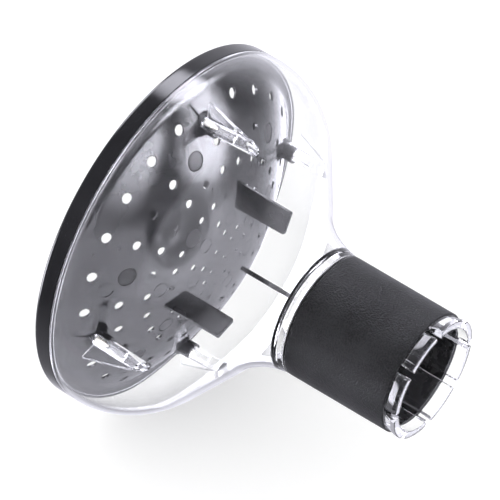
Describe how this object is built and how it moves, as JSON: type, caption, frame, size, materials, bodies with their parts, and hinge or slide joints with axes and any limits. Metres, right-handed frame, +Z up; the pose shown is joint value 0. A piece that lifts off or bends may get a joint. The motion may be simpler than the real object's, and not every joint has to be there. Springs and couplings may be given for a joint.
{
  "type": "hair dryer diffuser",
  "caption": "Diffuser bowl with pronged front, clear bell housing on screw posts, and a twist grip that closes a ring of clear spring fingers on a dryer barrel.",
  "frame": {"origin": "centre of the clamp's gripping wall, on the axis of the diffuser", "axes": "+Y along the axis and out of the clamp's mouth, so the hair side of the bowl faces -Y; +Z up"},
  "size_m": [0.165, 0.1403, 0.165],
  "materials": {
    "clear_plastic": "clear moulded polycarbonate, polished",
    "gloss_black": "high gloss black",
    "smooth_black": "smooth satin black",
    "grained_black": "fine leather grain, matte black",
    "screw_metal": "zinc plated"
  },
  "bodies": {
    "housing": {"clear_shell": "clear_plastic", "bowl": "gloss_black", "housing_screw_1": "screw_metal", "housing_screw_2": "screw_metal", "housing_screw_3": "screw_metal", "housing_screw_4": "screw_metal"},
    "clamp_core": {"clamp_core": "smooth_black"},
    "grip_cover": {"grip_cover": "grained_black"},
    "collet_finger_1": {"collet_finger_1": "clear_plastic"},
    "collet_finger_2": {"collet_finger_2": "clear_plastic"},
    "collet_finger_3": {"collet_finger_3": "clear_plastic"},
    "collet_finger_4": {"collet_finger_4": "clear_plastic"},
    "collet_finger_5": {"collet_finger_5": "clear_plastic"},
    "collet_finger_6": {"collet_finger_6": "clear_plastic"},
    "collet_finger_7": {"collet_finger_7": "clear_plastic"},
    "collet_finger_8": {"collet_finger_8": "clear_plastic"}
  },
  "joints": [
    {"name": "clamp_slide", "type": "slide", "parent": "housing", "child": "clamp_core", "axis": [0, 1, 0], "range_m": [0, 0.004]},
    {"name": "grip_turn", "type": "hinge", "parent": "clamp_core", "child": "grip_cover", "pos_m": [0, -0.015, 0], "axis": [0, 1, 0], "range_deg": [0, 120]},
    {"name": "finger_bend_1", "type": "hinge", "parent": "housing", "child": "collet_finger_1", "pos_m": [0.02139, -0.01485, 0.01066], "axis": [-0.4462, 0, 0.8949], "range_deg": [0, 2.8]},
    {"name": "finger_bend_2", "type": "hinge", "parent": "housing", "child": "collet_finger_2", "pos_m": [0.00758, -0.01485, 0.02267], "axis": [-0.9483, 0, 0.3173], "range_deg": [0, 2.8]},
    {"name": "finger_bend_3", "type": "hinge", "parent": "housing", "child": "collet_finger_3", "pos_m": [-0.01066, -0.01485, 0.02139], "axis": [-0.8949, 0, -0.4462], "range_deg": [0, 2.8]},
    {"name": "finger_bend_4", "type": "hinge", "parent": "housing", "child": "collet_finger_4", "pos_m": [-0.02267, -0.01485, 0.00758], "axis": [-0.3173, 0, -0.9483], "range_deg": [0, 2.8]},
    {"name": "finger_bend_5", "type": "hinge", "parent": "housing", "child": "collet_finger_5", "pos_m": [-0.02139, -0.01485, -0.01066], "axis": [0.4462, 0, -0.8949], "range_deg": [0, 2.8]},
    {"name": "finger_bend_6", "type": "hinge", "parent": "housing", "child": "collet_finger_6", "pos_m": [-0.00758, -0.01485, -0.02267], "axis": [0.9483, 0, -0.3173], "range_deg": [0, 2.8]},
    {"name": "finger_bend_7", "type": "hinge", "parent": "housing", "child": "collet_finger_7", "pos_m": [0.01066, -0.01485, -0.02139], "axis": [0.8949, 0, 0.4462], "range_deg": [0, 2.8]},
    {"name": "finger_bend_8", "type": "hinge", "parent": "housing", "child": "collet_finger_8", "pos_m": [0.02267, -0.01485, -0.00758], "axis": [0.3173, 0, 0.9483], "range_deg": [0, 2.8]}
  ],
  "couplings": [
    {"joint": "clamp_slide", "follows": "grip_turn", "m_per_rad": 0.0019},
    {"joint": "finger_bend_1", "follows": "grip_turn", "ratio": 0.023},
    {"joint": "finger_bend_2", "follows": "grip_turn", "ratio": 0.023},
    {"joint": "finger_bend_3", "follows": "grip_turn", "ratio": 0.023},
    {"joint": "finger_bend_4", "follows": "grip_turn", "ratio": 0.023},
    {"joint": "finger_bend_5", "follows": "grip_turn", "ratio": 0.023},
    {"joint": "finger_bend_6", "follows": "grip_turn", "ratio": 0.023},
    {"joint": "finger_bend_7", "follows": "grip_turn", "ratio": 0.023},
    {"joint": "finger_bend_8", "follows": "grip_turn", "ratio": 0.023}
  ]
}
